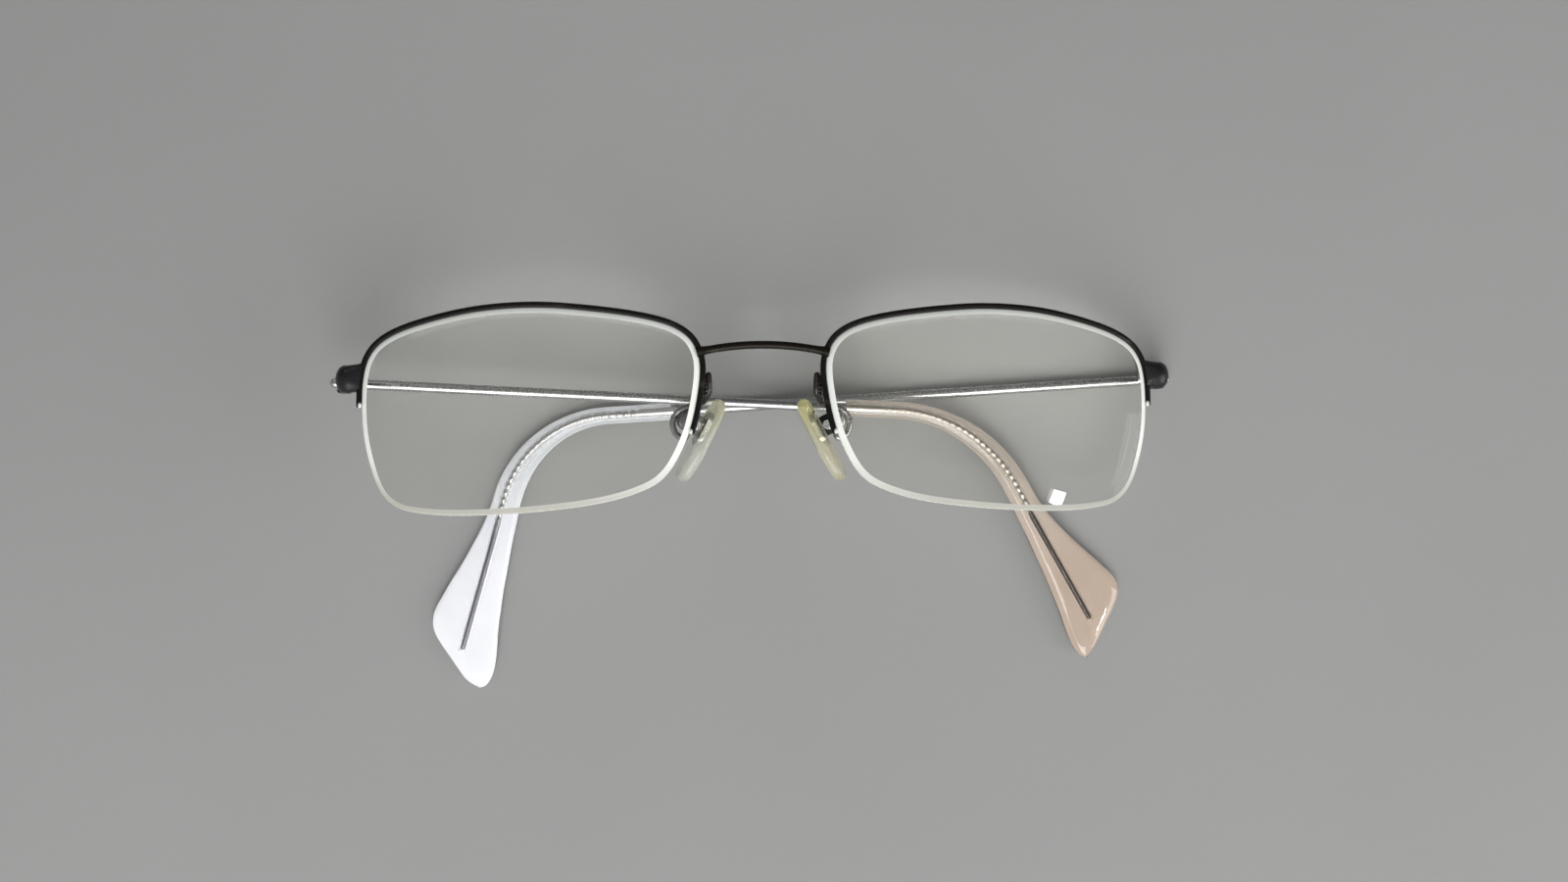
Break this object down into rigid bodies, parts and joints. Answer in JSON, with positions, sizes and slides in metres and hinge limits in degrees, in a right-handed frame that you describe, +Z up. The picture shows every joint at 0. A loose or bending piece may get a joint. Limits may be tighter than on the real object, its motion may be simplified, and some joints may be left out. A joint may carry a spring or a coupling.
{
  "type": "half-frame eyeglasses",
  "caption": "Half-frame eyeglasses with wire top rims, lenses held by nylon cords, nose pads on arms and folding wire temples with clear flared tips.",
  "frame": {"origin": "middle of the folded frame's box, on the surface that it lies on", "axes": "+Z up from that surface, the way the lens fronts face; +X towards the wearer's left side; +Y towards the top of the frame"},
  "size_m": [0.1356, 0.0618, 0.0208],
  "materials": {
    "black_lacquer": "glossy black lacquer over metal",
    "temple_lacquer": "glossy black lacquer over round wire",
    "dark_steel": "dark plated hinge steel",
    "screw_steel": "small turned steel screws",
    "arm_steel": "dark plated wire and box",
    "insert_steel": "thin metal insert",
    "lens_plastic": "clear lens with an anti-reflection coating and a ground edge",
    "nylon": "translucent white nylon",
    "pad_silicone": "clear plastic, yellowed with age",
    "right_tip_acetate": "clear plastic, pinkish with age",
    "left_tip_acetate": "milky clear plastic"
  },
  "bodies": {
    "front": {"right_half_rim": "black_lacquer", "left_half_rim": "black_lacquer", "bridge": "black_lacquer", "right_lens": "lens_plastic", "left_lens": "lens_plastic", "right_rim_liner": "nylon", "left_rim_liner": "nylon", "right_lens_cord": "nylon", "left_lens_cord": "nylon", "right_endpiece": "black_lacquer", "left_endpiece": "black_lacquer", "right_hinge_leaf": "dark_steel", "left_hinge_leaf": "dark_steel", "right_hinge_screw": "screw_steel", "left_hinge_screw": "screw_steel", "right_pad_arm": "arm_steel", "left_pad_arm": "arm_steel", "right_pad_box": "arm_steel", "left_pad_box": "arm_steel", "right_pad_screw": "screw_steel", "left_pad_screw": "screw_steel"},
    "right_temple_arm": {"right_temple": "temple_lacquer", "right_temple_tip": "right_tip_acetate"},
    "left_temple_arm": {"left_temple": "temple_lacquer", "left_temple_tip": "left_tip_acetate"},
    "right_pad": {"right_pad_lug": "insert_steel", "right_nose_pad": "pad_silicone"},
    "left_pad": {"left_pad_lug": "insert_steel", "left_nose_pad": "pad_silicone"}
  },
  "joints": [
    {"name": "right_temple_fold", "type": "hinge", "parent": "front", "child": "right_temple_arm", "pos_m": [-0.06548, 0.019, 0.01087], "axis": [0, 1, 0], "range_deg": [0, 92.7]},
    {"name": "left_temple_fold", "type": "hinge", "parent": "front", "child": "left_temple_arm", "pos_m": [0.06548, 0.0195, 0.00125], "axis": [0, -1, 0], "range_deg": [0, 88.9]},
    {"name": "right_pad_rock", "type": "hinge", "parent": "front", "child": "right_pad", "pos_m": [-0.0102, 0.01232, 0.01242], "axis": [0.2997, -0.1195, 0.9465], "range_deg": [-8, 8]},
    {"name": "left_pad_rock", "type": "hinge", "parent": "front", "child": "left_pad", "pos_m": [0.01102, 0.01232, 0.01086], "axis": [-0.1582, -0.1195, 0.9801], "range_deg": [-8, 8]}
  ]
}
